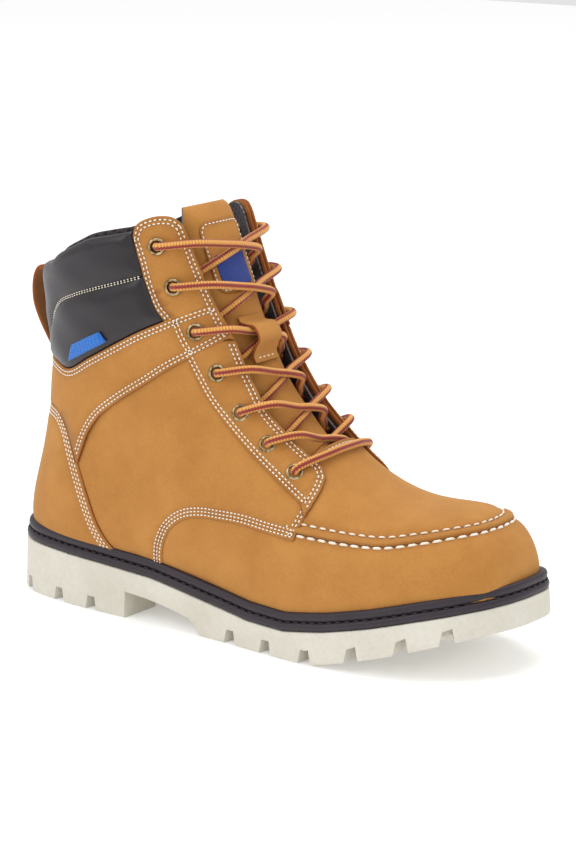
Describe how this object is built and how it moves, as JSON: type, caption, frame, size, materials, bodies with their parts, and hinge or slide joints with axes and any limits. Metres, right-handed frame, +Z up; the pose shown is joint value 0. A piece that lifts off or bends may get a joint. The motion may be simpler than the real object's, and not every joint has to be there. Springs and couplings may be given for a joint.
{
  "type": "work boot",
  "caption": "Right lace-up work boot in tan nubuck with a steel toe cap, padded dark collar, heel pull loop and thick lugged outsole.",
  "frame": {"origin": "middle of the boot's box, on the plane that the sole stands on", "axes": "+X from heel to toe, +Z up, -Y the outer side of this right boot"},
  "size_m": [0.312, 0.108, 0.216],
  "materials": {
    "nubuck": "oiled nubuck, matt, thick, stitched in off-white thread",
    "collar_leather": "soft smooth leather over foam, padded in channels",
    "raw_leather": "strip of oiled nubuck with raw edges",
    "lining_textile": "dark mesh lining",
    "steel": "pressed steel",
    "grey_plastic": "thermoplastic sheet",
    "cream_rubber": "moulded wedge-free lug sole, fine grain",
    "dark_rubber": "smooth moulded band with a stitched groove",
    "board_fibre": "pressed cellulose board",
    "footbed_foam": "foam under a brushed textile cover",
    "blue_tape": "woven tape, plain",
    "antique_brass": "antiqued, worn bright on the rim",
    "lace_yarn": "round braid, gold with dark red flecks",
    "clear_plastic": "shrunk film sleeve"
  },
  "bodies": {
    "boot": {"vamp_apron": "nubuck", "toe_mudguard": "nubuck", "quarter_lateral": "nubuck", "quarter_medial": "nubuck", "ankle_band_lateral": "nubuck", "ankle_band_medial": "nubuck", "eyestay_top_lateral": "nubuck", "eyestay_top_medial": "nubuck", "eyestay_lower_lateral": "nubuck", "eyestay_lower_medial": "nubuck", "heel_overlay": "nubuck", "tongue_lower": "nubuck", "lace_keeper": "nubuck", "collar_pad_lower_lateral": "collar_leather", "collar_pad_lower_medial": "collar_leather", "collar_pad_upper": "collar_leather", "pull_loop": "raw_leather", "lining_lateral": "lining_textile", "lining_medial": "lining_textile", "vamp_lining": "lining_textile", "gusset_lateral": "lining_textile", "gusset_medial": "lining_textile", "steel_toe_cap": "steel", "steel_shank": "steel", "toe_cap_strip": "grey_plastic", "heel_counter": "grey_plastic", "outsole": "cream_rubber", "welt": "dark_rubber", "rand": "dark_rubber", "insole_board": "board_fibre", "footbed": "footbed_foam", "collar_tag": "blue_tape", "eyelet_lateral_1": "antique_brass", "eyelet_lateral_2": "antique_brass", "eyelet_lateral_3": "antique_brass", "eyelet_lateral_4": "antique_brass", "eyelet_lateral_5": "antique_brass", "eyelet_lateral_6": "antique_brass", "eyelet_lateral_7": "antique_brass", "eyelet_medial_1": "antique_brass", "eyelet_medial_2": "antique_brass", "eyelet_medial_3": "antique_brass", "eyelet_medial_4": "antique_brass", "eyelet_medial_5": "antique_brass", "eyelet_medial_6": "antique_brass", "eyelet_medial_7": "antique_brass", "lace": "lace_yarn", "aglet_lateral": "clear_plastic", "aglet_medial": "clear_plastic"},
    "tongue_top": {"tongue_upper": "nubuck", "tongue_patch": "nubuck", "tongue_label": "blue_tape"}
  },
  "joints": [
    {"name": "tongue_tilt", "type": "hinge", "parent": "boot", "child": "tongue_top", "pos_m": [-0.019, 0, 0.157], "axis": [0, -1, 0], "range_deg": [0, 12]}
  ]
}
